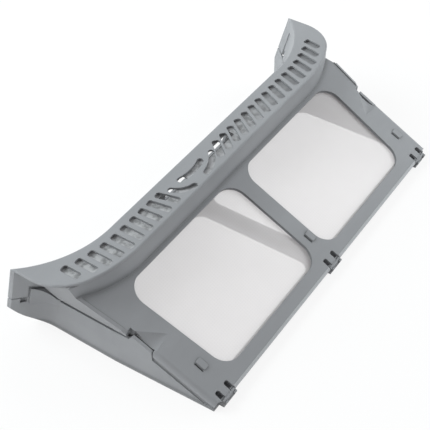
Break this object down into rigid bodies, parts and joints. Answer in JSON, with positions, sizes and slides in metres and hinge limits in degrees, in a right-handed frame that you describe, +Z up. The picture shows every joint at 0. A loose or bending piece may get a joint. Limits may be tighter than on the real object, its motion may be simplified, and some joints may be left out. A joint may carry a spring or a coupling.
{
  "type": "tumble dryer lint filter",
  "caption": "Hinged wedge-shaped lint filter: framed mesh panels on two leaves that open like a book, with a slotted grille strip along the thick edge.",
  "frame": {"origin": "on the resting face, below the middle of the hinge axis", "axes": "+X along the hinge, +Y from the hinge towards the grille strip, +Z up from the resting face"},
  "size_m": [0.332, 0.1548, 0.0655],
  "materials": {
    "frame": "satin moulded grey",
    "mesh": "fine woven screen"
  },
  "bodies": {
    "rear": {"rear_frame": "frame", "rear_mesh_left": "mesh", "rear_mesh_right": "mesh"},
    "front": {"front_frame": "frame", "front_mesh_left": "mesh", "front_mesh_right": "mesh"}
  },
  "joints": [
    {"name": "leaf_hinge", "type": "hinge", "parent": "rear", "child": "front", "pos_m": [0, 0, 0.0052], "axis": [1, 0, 0], "range_deg": [0, 120]}
  ]
}
